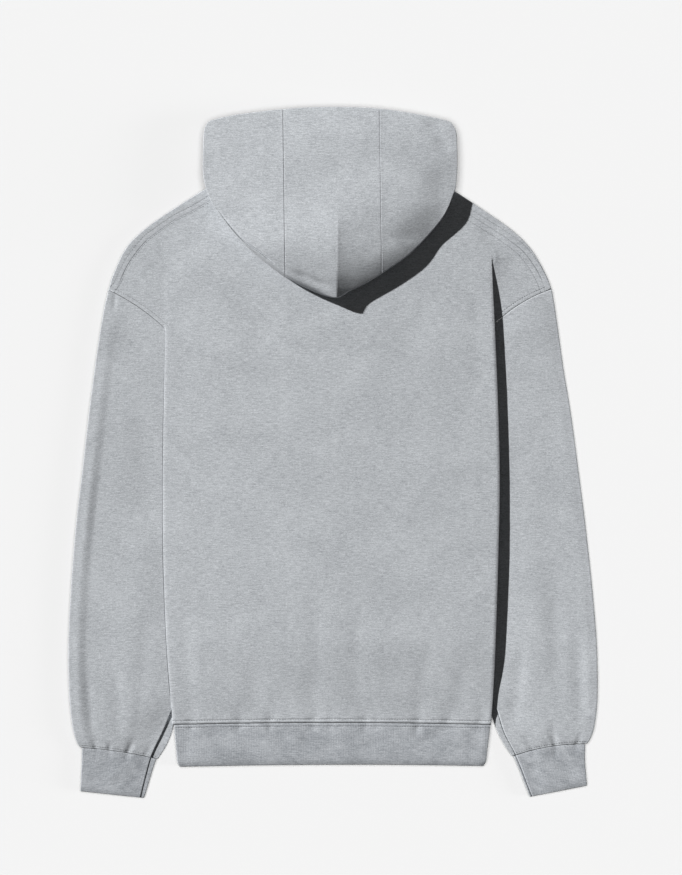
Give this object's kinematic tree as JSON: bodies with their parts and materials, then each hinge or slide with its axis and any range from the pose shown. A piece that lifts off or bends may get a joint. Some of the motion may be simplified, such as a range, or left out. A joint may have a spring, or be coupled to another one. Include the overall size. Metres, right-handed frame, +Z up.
{
  "type": "pullover hoodie laid flat",
  "caption": "Fleece pullover hoodie laid flat on its front, with a panelled hood folded over the back, long sleeves at the sides, and ribbed cuffs and waistband.",
  "frame": {"origin": "centre of the garment's outline, on the surface that it lies on", "axes": "+Y from the waistband towards the hood, +X across the back towards the wearer's right arm, +Z up from the surface"},
  "size_m": [0.6337, 0.8276, 0.0323],
  "materials": {
    "fleece": "matte heather grey fleece",
    "rib": "matte heather grey rib knit"
  },
  "bodies": {
    "root": {"back_panel": "fleece", "front_panel": "fleece", "sleeve_left": "fleece", "sleeve_right": "fleece", "cuff_left": "rib", "cuff_right": "rib", "waistband": "rib", "hood_centre": "fleece", "hood_side_left": "fleece", "hood_side_right": "fleece"}
  },
  "joints": []
}
